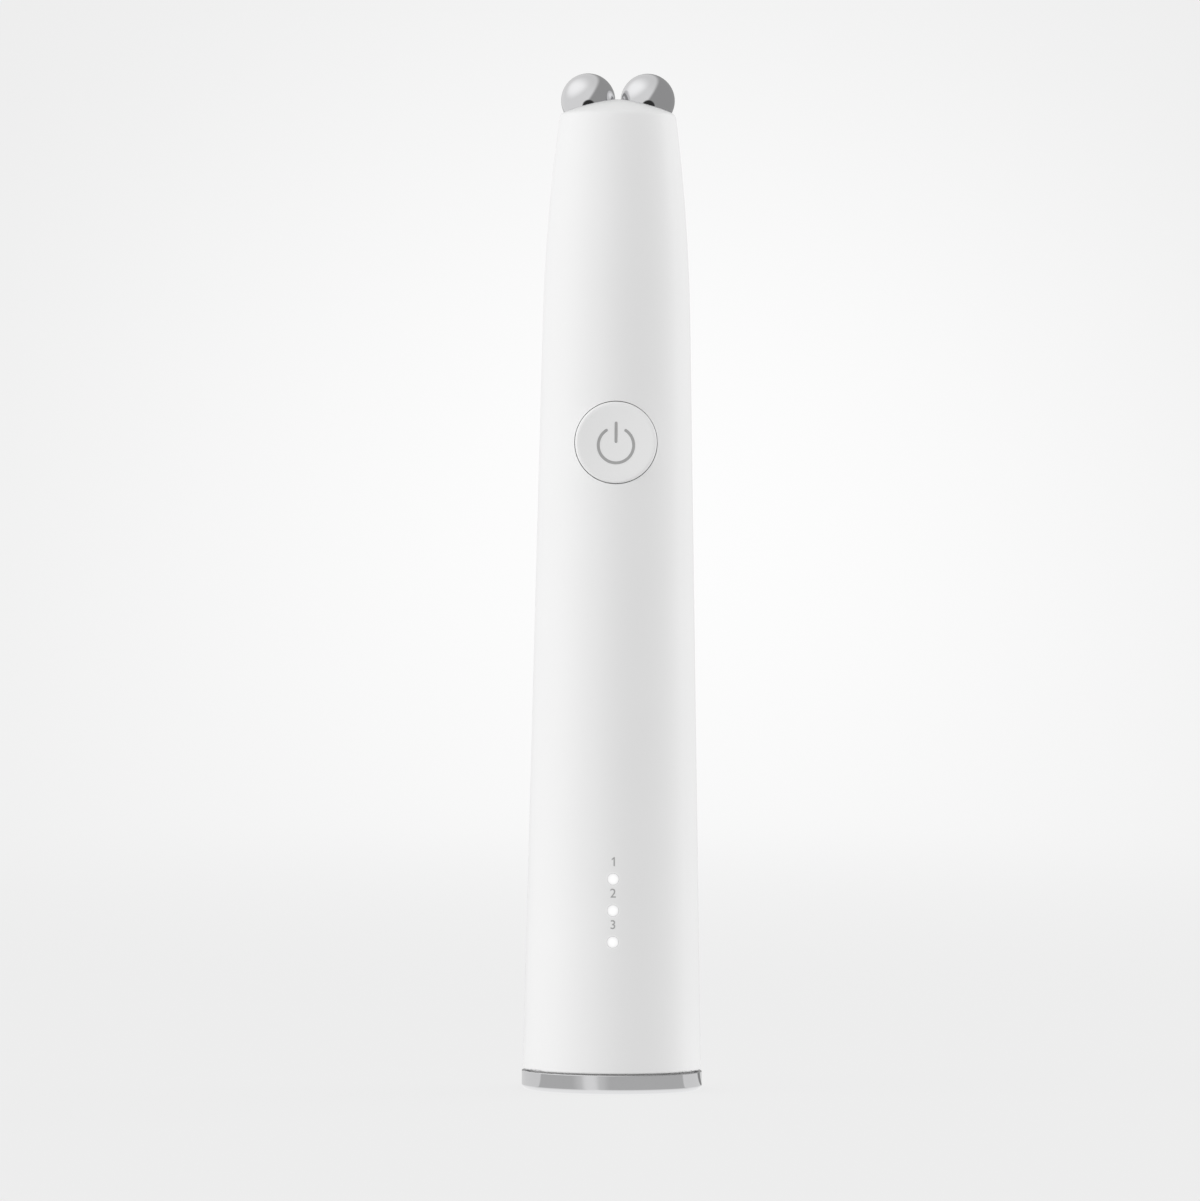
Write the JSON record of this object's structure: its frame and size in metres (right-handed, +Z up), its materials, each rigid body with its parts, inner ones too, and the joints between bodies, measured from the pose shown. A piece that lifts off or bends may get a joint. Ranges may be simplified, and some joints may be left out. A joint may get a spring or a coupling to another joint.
{
  "type": "facial toning device",
  "caption": "Slim tapered facial toning wand with ball electrodes at its tip, a round sprung power button, mode lamps and a polished base ring.",
  "frame": {"origin": "centre of the resting face under the base ring", "axes": "+Z up the wand to the balls, -Y out of the front with the button, balls side by side along X"},
  "size_m": [0.0266, 0.0266, 0.15],
  "materials": {
    "shell_white": "satin",
    "button_white": "satin",
    "cap_white": "satin",
    "polished_chrome": "polished",
    "pad_silicone": "matte",
    "seal_silicone": "matte",
    "steel": "satin",
    "nickel": "satin",
    "tinned_brass": "satin",
    "chassis_plastic": "matte",
    "board_laminate": "satin",
    "component_black": "matte",
    "component_tan": "matte",
    "ferrite": "matte",
    "copper_winding": "gloss",
    "connector_white": "satin",
    "lamp_lens": "gloss",
    "led_package": "matte",
    "cell_wrap": "gloss",
    "foam": "matte",
    "lead_red": "satin",
    "lead_black": "satin",
    "lead_white": "satin",
    "lead_blue": "satin"
  },
  "bodies": {
    "wand": {"front_shell": "shell_white", "rear_shell": "shell_white", "base_ring": "polished_chrome", "base_cap": "cap_white", "base_screws": "steel", "foot_pad": "pad_silicone", "charge_port": "nickel", "port_tongue": "component_black", "charge_board": "board_laminate", "charge_chip": "component_black", "charge_leads": "lead_white", "inner_chassis": "chassis_plastic", "main_board": "board_laminate", "board_screws": "steel", "control_chip": "component_black", "boost_coil": "ferrite", "capacitors": "nickel", "small_board_parts": "component_tan", "sounder": "component_black", "transformer_core": "ferrite", "transformer_winding": "copper_winding", "battery_connector": "connector_white", "battery_cell": "cell_wrap", "battery_tabs": "nickel", "battery_red_lead": "lead_red", "battery_black_lead": "lead_black", "battery_pad": "foam", "indicator_leds": "led_package", "lamp_shroud": "component_black", "light_guide": "lamp_lens", "button_seal": "seal_silicone", "switch_case": "component_black", "switch_cover": "steel", "left_ball_electrode": "polished_chrome", "right_ball_electrode": "polished_chrome", "electrode_carrier": "chassis_plastic", "electrode_seals": "seal_silicone", "electrode_terminals": "tinned_brass", "electrode_nuts": "steel", "left_electrode_lead": "lead_white", "right_electrode_lead": "lead_blue"},
    "button": {"power_button": "button_white"},
    "plunger": {"switch_plunger": "component_black"}
  },
  "joints": [
    {"name": "button_press", "type": "slide", "parent": "wand", "child": "button", "axis": [0, 1, 0], "range_m": [0, 0.0003], "stiffness_N_per_m": 1000},
    {"name": "switch_press", "type": "slide", "parent": "wand", "child": "plunger", "axis": [0, 1, 0], "range_m": [0, 0.0003]}
  ],
  "couplings": [
    {"joint": "switch_press", "follows": "button_press", "ratio": 1}
  ]
}
